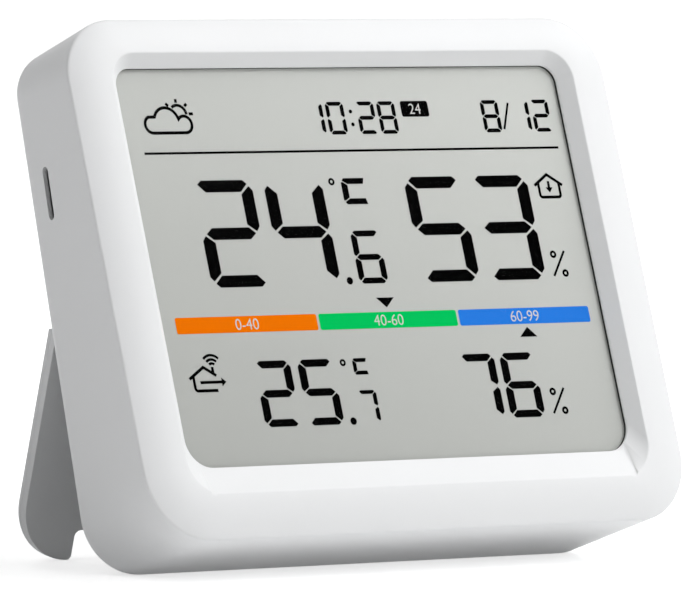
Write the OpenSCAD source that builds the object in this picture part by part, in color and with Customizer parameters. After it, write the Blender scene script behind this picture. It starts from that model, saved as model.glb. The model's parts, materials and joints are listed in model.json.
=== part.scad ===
// Desk thermometer and hygrometer with a segment display and a fold-out stand.
// Millimetres, +Z up, front towards -Y. The housing is modelled upright in its
// own frame, front edge at y = 0, and then leans back on the stand.

/* [Housing] */
// Width of the housing at its front edge
body_w = 92; // [86:0.5:104]
// Height of the housing at its front edge
body_h = 72.5; // [70:0.5:84]
// Depth from the front edge to the back, along the lower end
depth_low = 20.8; // [19.5:0.1:26]
// Depth from the front edge to the back, along the upper end
depth_top = 16.3; // [15:0.1:22]
// Radius of the four corners seen from the front
corner_r = 9.5; // [8:0.5:12]
// Radius of the two upper corners of the back
rear_r_top = 5; // [4.5:0.25:7]
// Radius of the two lower corners of the back
rear_r_low = 7; // [5:0.25:9]
// How far the front frame swells in front of its edge
crown = 1.2; // [0.6:0.1:2]
// How far each side wall has come in when it reaches the back
side_draft = 2; // [1:0.1:3]
// The same for the lower and the upper wall
end_draft = 0.3; // [0:0.1:0.6]
// Radius of the edge around the back
rear_round = 3; // [2:0.25:4]
// Wall thickness of the front shell
wall = 1.8; // [1.4:0.1:2.2]
// Wall thickness left around the rear cover
rim = 1.3; // [1:0.1:1.6]
// Angle at which the housing leans back
lean = 20.6; // [14:0.1:25]

/* [Vent slot] */
// Length of the slot in the left wall
vent_l = 7.3; // [4:0.1:12]
// Width of the slot
vent_w = 1.3; // [0.8:0.1:2]
// Distance of the slot's middle behind the front edge
vent_y = 10.9; // [8:0.1:12]
// Height of the slot's middle above the middle of the housing
vent_z = 15.1; // [5:0.1:20]
// Slant of the slot against the front edge
vent_slant = 4.5; // [0:0.5:10]

/* [Display] */
// Frame width from the front edge to the bevel at each side
border_side = 6.5; // [5:0.1:8]
// Frame width at the upper end
border_top = 5.1; // [4.5:0.1:7]
// Frame width at the lower end
border_low = 6.1; // [5:0.1:8]
// Width of the bevel at the sides and the upper end
bevel = 1.65; // [1:0.05:2.5]
// Width of the bevel at the lower end
bevel_low = 4; // [3:0.1:5]
// Distance of the lower bevel's ends from the window's sides
bevel_end = 1.5; // [1:0.1:2.5]
// Corner radius of the window
window_r = 4; // [2:0.25:5]
// Depth of the window's inner edge behind the front edge
lip_y = 0.55; // [0.3:0.05:1]
// Thickness of the lip that the lens sits behind
lip_t = 0.35; // [0.3:0.05:1]
// Thickness of the clear lens
lens_t = 0.3; // [0.25:0.05:1.2]
// Thickness of each display glass
glass_t = 0.9; // [0.7:0.1:1.1]
// Thickness of the reflector film
film_t = 0.25; // [0.2:0.05:0.4]
// How far lens and glasses reach past the window's edge
glass_lap = 1.1; // [0.8:0.1:1.3]
// Height of the contact ledge below the rear glass
ledge_h = 3; // [2.6:0.1:3.2]
// Length of the elastomer strip
strip_l = 70; // [50:1:74]
// Width of the elastomer strip
strip_w = 2; // [1.6:0.1:2.2]

/* [Circuit board] */
// Thickness of the board
board_t = 1.2; // [0.8:0.1:1.6]
// Distance of the board behind the rear glass
board_off = 1.55; // [1.2:0.05:2]
// Height of the board's upper edge below the housing's middle
board_top = 1.5; // [0:0.1:4]
// Width of the tongue that carries the sensor and the switch
tongue_w = 13; // [11:0.5:15]
// Height of the tongue's upper edge above the housing's middle
tongue_top = 22.5; // [20:0.5:26]
// Distance of the board screws below the housing's middle
board_screw_z = 14; // [10:0.5:20]
// Width of the radio module
radio_w = 17; // [12:0.5:20]
// Height of the radio module along the board
radio_l = 12; // [10:0.5:14]
// Thickness of the radio module
radio_t = 2.2; // [1.6:0.1:3]
// Side of the display driver
driver_w = 10; // [7:0.5:12]
// Thickness of the display driver
driver_t = 1.4; // [1:0.1:1.8]
// Side of the humidity sensor
sensor_w = 2.5; // [2:0.1:3]
// Thickness of the humidity sensor
sensor_t = 0.9; // [0.7:0.1:1.2]
// Side of the switch body
switch_w = 6; // [5:0.1:6.5]
// Height of the switch body
switch_h = 3.6; // [3:0.1:4]
// Radius of the switch's plunger
plunger_r = 1.7; // [1.4:0.1:1.9]
// How far the plunger stands out of the switch
plunger_out = 1.2; // [1:0.1:1.5]

/* [Button] */
// Diameter of the button
button_d = 5.2; // [4:0.1:6]
// How far the button stands out of the rear pad
button_out = 0.6; // [0.5:0.1:1]
// Travel of the button
button_travel = 0.5; // [0.3:0.05:0.6]
// Distance of the button from the raised pad's left side
button_x = 6.5; // [6:0.1:7]
// Height of the button above the housing's middle
button_z = 9; // [8:0.1:12]

/* [Battery] */
// Diameter of a cell
cell_d = 10.5; // [10:0.1:11]
// Length of a cell with its nub
cell_l = 44.5; // [44:0.1:45]
// Height of the cell's nub
nub_h = 1; // [0.8:0.1:1.5]
// Gap between the two cells
cell_gap = 0.4; // [0.3:0.1:0.8]
// Room around the cells in the tub
tub_play = 0.2; // [0.15:0.05:0.4]
// Wall thickness of the tub
tub_wall = 1.1; // [0.9:0.1:1.4]
// Distance of the tub's middle right of the housing's middle
tub_x = 4.5; // [3:0.1:5]
// Thickness of the contact sheet
contact_t = 0.4; // [0.3:0.05:0.5]
// Width of a single contact along the tub's end wall
contact_w = 8.8; // [7:0.1:10]
// Depth of a contact in the tub
contact_d = 8.4; // [7:0.1:10]
// Height of a contact's spring bow
bow_h = 2; // [1.5:0.1:2.5]
// Length of a contact's spring bow
bow_l = 8; // [7:0.1:8.4]
// Width of a contact's spring bow
bow_w = 4; // [3:0.1:5]
// Height of a contact's dimple
dimple_h = 0.6; // [0.4:0.1:0.8]
// Diameter of a contact's dimple
dimple_d = 3.6; // [3:0.1:4.5]
// Thickness of the battery door
door_t = 1.3; // [1:0.1:1.5]
// How far the door reaches past the tub on each side
door_lap = 1.8; // [1.2:0.1:2.2]

/* [Rear cover] */
// Thickness of the cover
cover_t = 2; // [1.8:0.1:2.4]
// Wall thickness of the raised pad over the tub
pad_wall = 1.7; // [1.5:0.1:2]
// Width of the raised pad
pad_w = 80; // [76:0.5:81]
// Corner radius of the raised pad
pad_r = 6; // [4:0.5:8]
// Width of the chamfer around the raised pad
pad_chamfer = 0.8; // [0.4:0.1:1]
// Distance of the cover screws from the housing's sides
screw_x = 12; // [10:0.5:14]
// Distance of the cover screws from the housing's upper and lower edge
screw_in = 3.65; // [3.6:0.05:3.9]
// Radius of a cover screw's shank
screw_r = 0.8; // [0.7:0.05:0.9]
// Radius of a cover screw's head
head_r = 1.5; // [1.4:0.05:1.6]
// Thickness of a screw's head
head_t = 1; // [0.8:0.1:1.1]
// Length of a cover screw in its boss
screw_bite = 4.5; // [3.5:0.1:6]
// Wall of a screw boss
boss_wall = 1; // [0.9:0.05:1.1]

/* [Kickstand] */
// Width of the stand
stand_w = 84.2; // [76:0.2:86]
// Thickness of the stand
stand_t = 2.2; // [1.9:0.1:2.6]
// Angle between the open stand and the back
stand_open = 31.1; // [24:0.1:40]
// Distance of the hinge below the housing's middle
hinge_low = 2.2; // [1:0.1:4]
// Gap between the folded stand and the back
stand_gap = 0.2; // [0.15:0.05:0.4]
// Width of a foot
foot_w = 9.2; // [7:0.1:12]
// Radius of a foot's inner lower corner
foot_r = 0.8; // [0.4:0.1:1.5]
// Height of the finger gap between the feet
notch_h = 4.2; // [3:0.1:6]
// Radius of the stand's outer corners
stand_r = 8.5; // [6:0.5:9]
// Radius of the finger gap's inner corners
notch_r = 1.2; // [0.8:0.1:2]
// Width of the rounding around the stand's rear face
stand_round = 0.8; // [0.4:0.1:1]
// How far the bevel around the stand's front face draws in
stand_bevel = 0.5; // [0.2:0.1:0.8]
// Radius of a hinge pin
pin_r = 0.6; // [0.5:0.05:0.7]
// Length of a hinge lug
lug_l = 8; // [6:0.5:10]
// Distance of a hinge lug's middle from the housing's middle
lug_x = 28; // [24:0.5:30]
// Length of a hinge pin on each side of its lug
pin_tail = 5; // [4:0.5:6]

/* [Fits] */
// Side gap of the cover, the door and the hinge lugs
play = 0.15; // [0.1:0.05:0.25]
// Radial clearance of a moving round fit
run = 0.06; // [0.03:0.01:0.09]
// Gap between a moving edge and a fixed one
swing = 0.35; // [0.3:0.05:0.5]
// Gap between a fixed piece and its seat
seat = 0.05; // [0.03:0.01:0.1]

/* [Hidden] */
$fn = 64;

white = [0.93, 0.93, 0.93];
black = [0.15, 0.15, 0.16];
hull_fn = 40;
eps = 0.01;

// housing
hw = body_w / 2;
hh = body_h / 2;
wedge = atan((depth_low - depth_top) / body_h);
mid_depth = (depth_low + depth_top) / 2;
rear_hw = hw - side_draft;
rear_hh = hh - end_draft;
tip = wedge - lean;

// window, from the front edge inwards
win_hw = hw - border_side - bevel;
win_top = hh - border_top - bevel;
win_low = -(hh - border_low - bevel_low);

// display stack, front to back
lens_y = lip_y + lip_t;
front_y = lens_y + lens_t + seat;
back_y = front_y + glass_t;
film_y = back_y + glass_t;
board_y = film_y + board_off;
glass_hw = win_hw + glass_lap;
glass_top = win_top + glass_lap;
glass_low = win_low - glass_lap;
ledge_low = glass_low - ledge_h;

// inside of the shell
in_hw = hw - wall;
in_hh = hh - wall;
open_hw = rear_hw - rim;
open_hh = rear_hh - rim * 0.85;

// cover screws run straight back, board screws too
screw_at = hw - screw_x;
screw_z = hh - screw_in;
boss_r = screw_r + boss_wall;
board_screw_r = 0.7;
board_head_r = 1.4;
board_boss_r = 1.7;
board_screw_x = glass_hw + 0.25 + board_boss_r;
board_hw = open_hw - 0.3;
board_low = -(screw_z - boss_r - 0.25);

// raised pad, tub and door, in the frame of the back
pad_h = stand_gap + stand_t;
hinge_z = -hinge_low;
hinge_y = stand_gap + stand_t / 2;
pad_low = hinge_z + stand_t / 2 + swing;
pad_top = rear_hh - 6;
tub_l = cell_l + contact_t * 2 + bow_h + dimple_h + 0.1;
tub_h = 2 * cell_d + cell_gap + 2 * tub_play;
door_h = tub_h + 2 * door_lap;
door_l = tub_l + 2 * door_lap;
tub_low = (pad_low + pad_top) / 2 - tub_h / 2 + 0.8;
tub_x0 = tub_x - tub_l / 2;
tub_x1 = tub_x + tub_l / 2;
cell_y = pad_h - door_t - tub_play - cell_d / 2;
tub_floor = cell_y - cell_d / 2 - tub_play;
cell_z1 = tub_low + tub_play + cell_d / 2;
cell_z2 = cell_z1 + cell_d + cell_gap;

// stand: the length follows from the floor under the housing
stand_hw = stand_w / 2;
turn = tip + stand_open;
floor_z = -mid_depth * sin(lean) - rear_round * sin(tip)
          - (rear_hh - rear_round) * cos(tip) - rear_round;
hinge_up = -mid_depth * sin(lean) + hinge_y * sin(tip) + hinge_z * cos(tip);
bevel_y = (stand_t - stand_round) * 0.75 - stand_t / 2;
heel = min(bevel_y * sin(turn), stand_bevel * cos(turn) - stand_t / 2 * sin(turn));
stand_l = (hinge_up - floor_z + heel) / cos(turn);
front_end = -hh * sin(lean);
rear_end = mid_depth * cos(lean) + pad_h * cos(tip) - (pad_top - pad_chamfer) * sin(tip);
mid_y = (front_end + rear_end) / 2;

// parts behind the board
chip_y = board_y + board_t;
board_mid = (board_low - board_top) / 2;
glass_r = 1;
door_r = 2;
lug_r = stand_t / 2 - 0.05;
button_at = -pad_w / 2 + button_x;
switch_land = 1;
land_half = switch_w / 2 + switch_land;
plunger_y = chip_y + 1.6;
plunger_end = chip_y + switch_h + plunger_out;

// corner radius of the back above and below the middle
function rear_r(z) = z > 0 ? rear_r_top : rear_r_low;

// depth of the back's plane at a height in the housing frame
function back_at(z) = mid_depth - z * tan(wedge);

function head_y(z) = back_at(z) - head_t - 0.25;
flange_y = back_at(button_z) + pad_h - pad_wall - 0.5;

module place() { translate([0, -mid_y, -floor_z]) rotate([-lean, 0, 0]) children(); }
module rear() { translate([0, mid_depth, 0]) rotate([wedge, 0, 0]) children(); }

// rounded rectangle between two heights
module rrect(w2, z0, z1, r) {
    translate([-w2 + r, z0]) square([2 * (w2 - r), z1 - z0]);
    translate([-w2, z0 + r]) square([2 * w2, z1 - z0 - 2 * r]);
    for (x = [-w2 + r, w2 - r], z = [z0 + r, z1 - r]) translate([x, z]) circle(r);
}
// plate of that shape, standing, from depth y0 backwards
module slab(w2, z0, z1, r, y0, t) {
    translate([0, y0 + t, 0]) rotate([90, 0, 0]) linear_extrude(t) rrect(w2, z0, z1, r);
}
// round bar along the depth
module rod(r, x, z, y0, y1) {
    translate([x, y0, z]) rotate([-90, 0, 0]) cylinder(r = r, h = y1 - y0);
}
// box between two corners
module box(a, b) { translate(a) cube(b - a); }

// outer form of the housing: swelling front, drafted walls, rounded back
module outer() {
    span = 6;
    hull() {
        for (s = [0, 2, 4, span])
            slab(hw - s, -hh + s, hh - s, corner_r - s, -crown * (1 - pow((span - s) / span, 2)), eps,
                 $fn = hull_fn);
        rear() for (x = [-1, 1], z = [-1, 1])
            translate([x * (rear_hw - rear_r(z)), -rear_round, z * (rear_hh - rear_r(z))])
                rotate([90, 0, 0]) rotate_extrude($fn = hull_fn) intersection() {
                    translate([rear_r(z) - rear_round, 0]) circle(rear_round, $fn = 32);
                    translate([0, -rear_round]) square([rear_r(z), 2 * rear_round]);
                }
    }
}
// inside of the shell, open to the back, drawn in by a gap for what fits in it
module cavity(gap) {
    hull() {
        slab(in_hw - gap, -in_hh + gap, in_hh - gap, corner_r - wall, lens_y, eps, $fn = hull_fn);
        rear() for (x = [-1, 1], z = [-1, 1]) {
            r = rear_r(z) - rim;
            rod(r, x * (open_hw - gap - r), z * (open_hh - gap - r), 1, 1 + eps, $fn = hull_fn);
        }
    }
}
// window with a bevel all round, and along its lower end a flat one that ends short of the corners
module window_cut() {
    rise = bevel_low / (lip_y + crown);
    hull() {
        slab(win_hw + bevel, win_low - bevel_low, win_top + bevel, window_r + 1, -crown - 0.2, 0.2,
             $fn = hull_fn);
        slab(win_hw, win_low, win_top, window_r, lip_y, eps, $fn = hull_fn);
    }
    slab(win_hw, win_low, win_top, window_r, lip_y, lip_t + 1, $fn = hull_fn);
    translate([-win_hw + bevel_end, 0, 0]) rotate([90, 0, 90]) linear_extrude(2 * (win_hw - bevel_end))
        polygon([[lip_y + 2 * eps, win_low], [lip_y + 2 * eps, win_low + window_r],
                 [-crown - 0.2, win_low + window_r],
                 [-crown - 0.2, win_low - bevel_low - 0.2 * rise - 3 * eps]]);
}
module vent_cut() {
    translate([-hw, vent_y, vent_z]) rotate([vent_slant, 0, 0]) rotate([0, 90, 0]) {
        translate([-vent_l / 2 + vent_w / 2, -vent_w / 2, -1]) cube([vent_l - vent_w, vent_w, wall + 4]);
        for (s = [-1, 1]) translate([s * (vent_l - vent_w) / 2, 0, -1]) cylinder(d = vent_w, h = wall + 4);
    }
}

module front_shell() {
    color(white) place() difference() {
        union() {
            difference() { outer(); cavity(0); }
            for (x = [-1, 1], z = [-1, 1]) {
                at = z * screw_z;
                end = z * (in_hh + 0.8);
                rod(boss_r, x * screw_at, at, lens_y - 0.3, back_at(at) - cover_t - 2 * play);
                box([x * screw_at - 0.8, lens_y - 0.3, min(at, end)],
                    [x * screw_at + 0.8, back_at(at) - cover_t - 3, max(at, end)]);
            }
            for (x = [-1, 1]) rod(board_boss_r, x * board_screw_x, -board_screw_z, lens_y - 0.3, board_y);
        }
        window_cut();
        vent_cut();
        for (x = [-1, 1], z = [-1, 1])
            rod(screw_r + seat, x * screw_at, z * screw_z, head_y(z * screw_z) - cover_t - screw_bite - 2,
                back_at(z * screw_z));
        for (x = [-1, 1])
            rod(board_screw_r + seat, x * board_screw_x, -board_screw_z, board_y - 3.3, board_y + 1);
    }
}

module pad() {
    hull() {
        slab(pad_w / 2, pad_low, pad_top, pad_r, -0.3, pad_h + 0.3 - pad_chamfer, $fn = hull_fn);
        slab(pad_w / 2 - pad_chamfer, pad_low, pad_top - pad_chamfer, pad_r - pad_chamfer, pad_h - eps, eps,
             $fn = hull_fn);
    }
}
// tub with the ledge that the door lies on
module tub() {
    box([tub_x0 - tub_wall, tub_floor - tub_wall, tub_low - tub_wall],
        [tub_x1 + tub_wall, pad_h - pad_wall + 0.2, tub_low + tub_h + tub_wall]);
    box([tub_x0 - door_lap - 0.8, pad_h - door_t - 1.3, tub_low - door_lap - 0.8],
        [tub_x1 + door_lap + 0.8, pad_h - pad_wall + 0.2, tub_low + tub_h + door_lap + 0.8]);
}
module door_plan(gap, y0, t) {
    translate([tub_x, 0, 0])
        slab(door_l / 2 + gap, tub_low - door_lap - gap, tub_low + tub_h + door_lap + gap, door_r + gap,
             y0, t);
}
module lug(s) {
    pin_bar(s, lug_r, lug_l);
    box([s * lug_x - lug_l / 2, -0.2, hinge_z], [s * lug_x + lug_l / 2, hinge_y + lug_r, pad_low + 0.4]);
}
module pin_bar(s, r, l) {
    translate([s * lug_x, hinge_y, hinge_z]) rotate([0, 90, 0]) cylinder(r = r, h = l, center = true);
}

module rear_cover() {
    color(white) place() difference() {
        union() {
            difference() {
                union() {
                    intersection() {
                        outer();
                        cavity(play);
                        rear() box([-hw, -cover_t, -hh], [hw, 1, hh]);
                    }
                    rear() pad();
                }
                rear() slab(pad_w / 2 - pad_wall, pad_low + pad_wall, pad_top - pad_wall, pad_r - pad_wall,
                            -cover_t - 1, cover_t + 1 + pad_h - pad_wall);
            }
            rear() tub();
            rear() for (s = [-1, 1]) lug(s);
        }
        rear() box([tub_x0, tub_floor, tub_low], [tub_x1, pad_h + 1, tub_low + tub_h]);
        rear() door_plan(play, pad_h - door_t - seat, door_t + 1);
        rear() for (s = [-1, 1]) pin_bar(s, pin_r, lug_l + 1);
        rod(button_d / 2 + run, button_at, button_z, back_at(button_z) - 1, back_at(button_z) + pad_h + 2);
        for (x = [-1, 1], z = [-1, 1]) {
            at = z * screw_z;
            rod(screw_r + play, x * screw_at, at, back_at(at) - cover_t - 2, back_at(at) + 1);
            rod(head_r + play, x * screw_at, at, head_y(at), back_at(at) + 2);
        }
    }
}

module battery_door() {
    color(white) place() rear() difference() {
        door_plan(0, pad_h - door_t, door_t);
        for (i = [0:4]) translate([tub_x + door_l / 2 - 5 - 2 * i, pad_h - 0.4, tub_low + tub_h / 2 - 5])
            cube([0.9, 1, 10]);
    }
}

// stand outline below the hinge line, drawn in by a rounding
module stand_plan(g) {
    translate([-stand_hw + g, -stand_l + stand_r]) square([2 * (stand_hw - g), stand_l - stand_r]);
    translate([-stand_hw + stand_r, -stand_l + g]) square([2 * (stand_hw - stand_r), stand_l - g]);
    for (s = [-1, 1]) translate([s * (stand_hw - stand_r), -stand_l + stand_r]) circle(stand_r - g);
}
module stand_sheet(g, y0, t) {
    translate([0, y0 + t, 0]) rotate([90, 0, 0]) linear_extrude(t) stand_plan(g);
}
module stand_form() {
    k = stand_round;
    difference() {
        union() {
            hull() {
                stand_sheet(stand_bevel, -stand_t / 2, eps, $fn = hull_fn);
                stand_sheet(0, bevel_y, stand_t / 2 - k - bevel_y, $fn = hull_fn);
                stand_sheet(k * 0.3, stand_t / 2 - k * 0.3, eps, $fn = hull_fn);
                stand_sheet(k, stand_t / 2 - eps, eps, $fn = hull_fn);
            }
            rotate([0, 90, 0]) cylinder(r = stand_t / 2, h = 2 * (stand_hw - k), center = true);
        }
        translate([0, stand_t, 0]) rotate([90, 0, 0]) linear_extrude(2 * stand_t)
            rrect(stand_hw - foot_w, -stand_l - 4, -stand_l + notch_h, notch_r);
        for (s = [-1, 1]) {
            translate([s * (stand_hw - foot_w), stand_t, -stand_l]) rotate([90, 0, 0])
                linear_extrude(2 * stand_t) difference() {
                    translate([s > 0 ? -1 : -foot_r, -1]) square([foot_r + 1, foot_r + 1]);
                    translate([s * foot_r, foot_r]) circle(foot_r);
                }
            box([s * lug_x - lug_l / 2 - play, -stand_t, -stand_t / 2 - swing],
                [s * lug_x + lug_l / 2 + play, stand_t, stand_t]);
            translate([s * lug_x, 0, 0]) rotate([0, 90, 0])
                cylinder(r = pin_r + run, h = lug_l + 2 * (pin_tail + swing), center = true);
        }
    }
}
module kickstand() {
    color(white) place() rear() translate([0, hinge_y, hinge_z]) rotate([stand_open, 0, 0]) stand_form();
}
module hinge_pin_left() { color("silver") place() rear() pin_bar(-1, pin_r, lug_l + 2 * pin_tail); }
module hinge_pin_right() { color("silver") place() rear() pin_bar(1, pin_r, lug_l + 2 * pin_tail); }

module display_lens() {
    color([0.9, 0.92, 0.92, 0.4]) place() slab(glass_hw, glass_low, glass_top, glass_r, lens_y, lens_t);
}
module lcd_front_glass() {
    color([0.75, 0.77, 0.74]) place() slab(glass_hw, ledge_low, glass_top, glass_r, front_y, glass_t);
}
module lcd_rear_glass() {
    color([0.75, 0.77, 0.74]) place() slab(glass_hw, glass_low, glass_top, glass_r, back_y, glass_t);
}
module lcd_reflector() {
    color([0.8, 0.8, 0.78]) place() slab(glass_hw, glass_low, glass_top, glass_r, film_y, film_t);
}
module elastomer_strip() {
    zc = (ledge_low + glass_low) / 2;
    color([0.85, 0.55, 0.6]) place()
        box([-strip_l / 2, back_y, zc - strip_w / 2], [strip_l / 2, board_y, zc + strip_w / 2]);
}

module circuit_board() {
    color([0.1, 0.4, 0.2]) place() difference() {
        translate([0, board_y + board_t, 0]) rotate([90, 0, 0]) linear_extrude(board_t) {
            rrect(board_hw, board_low, -board_top, 3);
            translate([-board_hw, -board_top - 6]) square([tongue_w, board_top + 6 + tongue_top]);
            translate([button_at - land_half, -board_top - 6])
                square([2 * land_half, board_top + 6 + button_z + land_half]);
        }
        for (x = [-1, 1])
            rod(board_screw_r + play, x * board_screw_x, -board_screw_z, board_y - 1, board_y + board_t + 1);
    }
}
// flat component on the board's rear face
module chip(x, z, w, l, t) { box([x - w / 2, chip_y, z - l / 2], [x + w / 2, chip_y + t, z + l / 2]); }
module radio_module() {
    color("silver") place() chip(board_hw / 2, board_mid, radio_w, radio_l, radio_t);
}
module driver_chip() {
    color(black) place() chip(-board_hw / 5, board_mid, driver_w, driver_w, driver_t);
}
module humidity_sensor() {
    color(black) place() chip(-board_hw + 0.6 + sensor_w / 2, vent_z, sensor_w, sensor_w, sensor_t);
}
module switch_body() {
    color(black) place() difference() {
        chip(button_at, button_z, switch_w, switch_w, switch_h);
        rod(plunger_r + run, button_at, button_z, plunger_y - button_travel - swing, chip_y + switch_h + 1);
    }
}
module switch_plunger() {
    color("silver") place() rod(plunger_r, button_at, button_z, plunger_y, plunger_end);
}
module mode_button() {
    color(white) place() {
        rod(plunger_r, button_at, button_z, plunger_end, flange_y);
        rod(button_d / 2 + 0.6, button_at, button_z, flange_y - 0.8, flange_y);
        rod(button_d / 2, button_at, button_z, flange_y - 0.4, back_at(button_z) + pad_h + button_out);
    }
}

// cell along the width, nub at its right end
module cell() {
    r = cell_d / 2;
    l = cell_l - nub_h;
    rotate([0, 90, 0]) rotate_extrude()
        polygon([[0, 0], [r - 0.6, 0], [r - 0.6, 0.3], [r, 0.3], [r, l - 0.4], [r - 0.5, l],
                 [r * 0.36, l], [r * 0.36, l + nub_h], [0, l + nub_h]]);
}
module cell_lower() {
    color([0.2, 0.22, 0.25]) place() rear()
        translate([tub_x0 + contact_t + bow_h + seat, cell_y, cell_z1]) cell();
}
module cell_upper() {
    color([0.2, 0.22, 0.25]) place() rear()
        translate([tub_x1 - contact_t - bow_h - seat, cell_y, cell_z2]) rotate([0, 180, 0]) cell();
}

// battery contacts, drawn from the left end wall of the tub
module sheet(z0, z1) {
    box([0, cell_y - contact_d / 2, z0 - contact_w / 2],
        [contact_t, cell_y + contact_d / 2, z1 + contact_w / 2]);
}
module bow(z) {
    r = (bow_l * bow_l / 4 + bow_h * bow_h) / (2 * bow_h);
    intersection() {
        translate([contact_t + bow_h - r, cell_y, z - bow_w / 2]) difference() {
            cylinder(r = r, h = bow_w);
            translate([0, 0, -1]) cylinder(r = r - contact_t, h = bow_w + 2);
        }
        box([contact_t / 2, cell_y - contact_d / 2, z - bow_w],
            [contact_t + bow_h + 1, cell_y + contact_d / 2, z + bow_w]);
    }
}
module dimple(z) {
    translate([contact_t / 2, cell_y, z]) rotate([0, 90, 0])
        cylinder(d = dimple_d, h = contact_t / 2 + dimple_h);
}
module at_left() { color("silver") place() rear() translate([tub_x0, 0, 0]) children(); }
module at_right() { color("silver") place() rear() translate([tub_x1, 0, 0]) mirror([1, 0, 0]) children(); }
module contact_bridge() { at_left() { sheet(cell_z1, cell_z2); bow(cell_z1); dimple(cell_z2); } }
module contact_positive() { at_right() { sheet(cell_z1, cell_z1); dimple(cell_z1); } }
module contact_negative() { at_right() { sheet(cell_z2, cell_z2); bow(cell_z2); } }

module cover_screw(x, z) {
    color("silver") place() {
        rod(head_r, x, z, head_y(z), head_y(z) + head_t);
        rod(screw_r, x, z, head_y(z) - cover_t - screw_bite, head_y(z) + 0.1);
    }
}
module cover_screw_1() { cover_screw(-screw_at, -screw_z); }
module cover_screw_2() { cover_screw(screw_at, -screw_z); }
module cover_screw_3() { cover_screw(-screw_at, screw_z); }
module cover_screw_4() { cover_screw(screw_at, screw_z); }
module board_screw(s) {
    color("silver") place() {
        rod(board_head_r, s * board_screw_x, -board_screw_z, chip_y, chip_y + 0.9);
        rod(board_screw_r, s * board_screw_x, -board_screw_z, chip_y - board_t - 2.8, chip_y + 0.1);
    }
}
module board_screw_left() { board_screw(-1); }
module board_screw_right() { board_screw(1); }

front_shell();
rear_cover();
battery_door();
kickstand();
hinge_pin_left();
hinge_pin_right();
display_lens();
lcd_front_glass();
lcd_rear_glass();
lcd_reflector();
elastomer_strip();
circuit_board();
radio_module();
driver_chip();
humidity_sensor();
switch_body();
switch_plunger();
mode_button();
cell_lower();
cell_upper();
contact_bridge();
contact_positive();
contact_negative();
cover_screw_1();
cover_screw_2();
cover_screw_3();
cover_screw_4();
board_screw_left();
board_screw_right();
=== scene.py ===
"""Looks of a desk sensor for temperature and humidity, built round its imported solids."""

import json
import math

import bpy
import numpy as np
from bpy.props import FloatProperty, FloatVectorProperty, PointerProperty
from mathutils import Matrix, Vector


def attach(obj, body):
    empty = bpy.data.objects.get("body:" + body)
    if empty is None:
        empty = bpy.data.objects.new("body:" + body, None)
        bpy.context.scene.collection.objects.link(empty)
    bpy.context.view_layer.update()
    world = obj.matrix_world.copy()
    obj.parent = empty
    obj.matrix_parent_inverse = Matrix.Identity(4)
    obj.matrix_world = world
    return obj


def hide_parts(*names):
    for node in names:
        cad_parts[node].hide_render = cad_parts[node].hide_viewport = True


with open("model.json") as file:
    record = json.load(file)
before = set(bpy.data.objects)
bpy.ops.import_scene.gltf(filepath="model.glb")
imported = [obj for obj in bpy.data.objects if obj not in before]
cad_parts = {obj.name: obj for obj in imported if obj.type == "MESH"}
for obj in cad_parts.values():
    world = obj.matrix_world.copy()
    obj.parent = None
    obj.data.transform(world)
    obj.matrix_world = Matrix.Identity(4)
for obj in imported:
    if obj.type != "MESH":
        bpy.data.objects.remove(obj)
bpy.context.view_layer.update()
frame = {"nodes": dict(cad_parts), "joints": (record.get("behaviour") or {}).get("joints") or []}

bl_info = {
    "name": "Temperature and humidity sensor",
    "version": (1, 0, 0),
    "blender": (4, 5, 0),
    "location": "3D View > Sidebar > Sensor",
    "description": "Builds the looks of a desk sensor with a display and a fold-out stand",
    "category": "Object",
}

MM = 0.001
CORNER_STEPS = 20
SIDE_STEPS = 12
ROUND_STEPS = 5

# Edges that bend by more than SHARP show as edges; the front shell's, only from SOFT_MITRE on
SHARP = math.radians(23)
SOFT_MITRE = math.radians(65)


# Frames: each piece is drawn in millimetres on the axes of the part that carries it

class Place:
    """Axes right, back and up from an origin; at() turns millimetres on them into the row frame."""

    def __init__(self, origin, back):
        right = np.array((1.0, 0.0, 0.0))
        self.back = np.asarray(back, float) / np.linalg.norm(back)
        self.up = np.cross(right, self.back)
        self.axes = np.array((right, self.back, self.up))
        self.origin = np.asarray(origin, float)

    def at(self, points):
        """Origin plus each coordinate times its axis."""
        return self.origin + MM * np.asarray(points, float) @ self.axes


def corners_of(node):
    """All the vertices of a CAD node as an array."""
    mesh = frame["nodes"][node].data
    found = np.empty(3 * len(mesh.vertices), np.float32)
    mesh.vertices.foreach_get("co", found)
    return found.reshape(-1, 3).astype(float)


JOINT = {joint["name"]: joint for joint in frame["joints"]}
SWELL = 1.2
PAD_RISE = 2.4
HINGE_DROP = 2.2


def body_place():
    """Front-edge plane of the housing: back is against the button's travel, the middle is the shell's."""
    place = Place((0, 0, 0), -np.array(JOINT["button_press"]["axis"], float))
    shell = corners_of("front_shell")
    heights = shell @ place.up
    depth = (shell @ place.back).min() + SWELL * MM
    place.origin = place.back * depth + place.up * (heights.min() + heights.max()) / 2
    return place


def rear_place():
    """Plane of the back: the door lifts along its normal, and the hinge fixes its middle height."""
    place = Place((0, 0, 0), JOINT["door_lift"]["axis"])
    depth = (corners_of("battery_door") @ place.back).max() - PAD_RISE * MM
    height = np.array(JOINT["stand_hinge"]["pos_m"]) @ place.up + HINGE_DROP * MM
    place.origin = place.back * depth + place.up * height
    return place


def stand_place(rear):
    """Plane of the open stand: the back's plane turned about the hinge by the joint's whole range."""
    low, high = JOINT["stand_hinge"]["range_deg"]
    turn = math.radians(high - low)
    back = rear.back * math.cos(turn) + rear.up * math.sin(turn)
    return Place(JOINT["stand_hinge"]["pos_m"], back)


BODY = body_place()
REAR = rear_place()
STAND = stand_place(REAR)


# Sizes and colours that a user would change

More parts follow.
